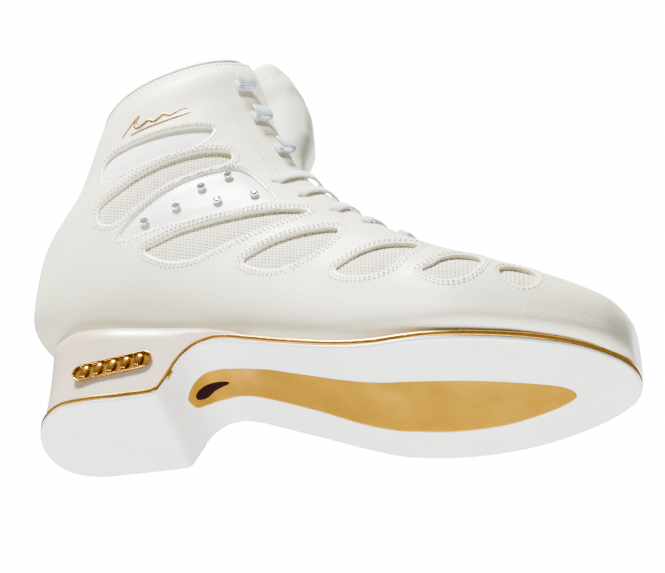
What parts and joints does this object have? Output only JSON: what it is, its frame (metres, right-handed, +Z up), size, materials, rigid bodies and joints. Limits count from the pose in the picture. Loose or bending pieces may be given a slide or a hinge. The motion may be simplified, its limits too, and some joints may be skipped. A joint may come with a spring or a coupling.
{
  "type": "figure skating boot",
  "caption": "Right-hand figure skating boot without its blade: stiff laced upper with fabric windows, padded tongue, high heel and inlaid sole.",
  "frame": {"origin": "middle of the footprint box, on the surface that the boot stands on", "axes": "+X to the toe, +Y to the inner side of a right foot, +Z up"},
  "size_m": [0.2788, 0.0854, 0.2144],
  "materials": {
    "upper_leather": "fine-grained off-white microfibre",
    "panel_leather": "smooth white",
    "collar_leather": "soft rolled edge",
    "tongue_leather": "padded, fine grain",
    "lining_textile": "napped textile",
    "window_mesh": "knobbly spacer mesh",
    "sole_plastic": "smooth semi-gloss",
    "heel_plastic": "satin",
    "gold_trim": "brushed and lacquered",
    "dark_window": "polished",
    "hook_steel": "satin",
    "steel": "plain",
    "crystal": "cut and polished",
    "lace_cord": "flat woven",
    "aglet": "clear film",
    "foam": "closed cell",
    "board": "fibre board",
    "footbed_foam": "cloth-covered foam"
  },
  "bodies": {
    "boot": {"outsole": "sole_plastic", "heel_block": "heel_plastic", "welt_piping": "gold_trim", "sole_inlay": "gold_trim", "sole_window": "dark_window", "heel_badge": "gold_trim", "shank": "steel", "shock_absorber": "foam", "upper_shell": "upper_leather", "lining": "lining_textile", "collar_roll": "collar_leather", "insole_board": "board", "toe_puff": "board", "heel_counter": "board", "footbed": "footbed_foam", "ankle_pad_outer": "foam", "eyestay_outer": "upper_leather", "fabric_cuff_outer": "window_mesh", "fabric_ankle_outer": "window_mesh", "fabric_heel_outer": "window_mesh", "fabric_waist_outer": "window_mesh", "fabric_quarter_outer": "window_mesh", "fabric_ball_outer": "window_mesh", "fabric_vamp_outer": "window_mesh", "side_panel_outer": "panel_leather", "hook_outer_1": "hook_steel", "hook_outer_2": "hook_steel", "hook_outer_3": "hook_steel", "ankle_pad_inner": "foam", "eyestay_inner": "upper_leather", "fabric_cuff_inner": "window_mesh", "fabric_ankle_inner": "window_mesh", "fabric_heel_inner": "window_mesh", "fabric_waist_inner": "window_mesh", "fabric_quarter_inner": "window_mesh", "fabric_ball_inner": "window_mesh", "fabric_vamp_inner": "window_mesh", "side_panel_inner": "panel_leather", "hook_inner_1": "hook_steel", "hook_inner_2": "hook_steel", "hook_inner_3": "hook_steel", "crystal_1": "crystal", "crystal_2": "crystal", "crystal_3": "crystal", "crystal_4": "crystal", "crystal_5": "crystal", "crystal_6": "crystal", "tongue_lower": "tongue_leather", "lace": "lace_cord", "lace_knot": "lace_cord", "lace_tail": "lace_cord", "lace_hank": "lace_cord", "lace_aglet": "aglet"},
    "tongue_top": {"tongue_upper": "tongue_leather"}
  },
  "joints": [
    {"name": "tongue_flex", "type": "hinge", "parent": "boot", "child": "tongue_top", "pos_m": [-0.0214, 0.0013, 0.1295], "axis": [0, -1, 0], "range_deg": [0, 12], "stiffness_Nm_per_rad": 0.6}
  ]
}
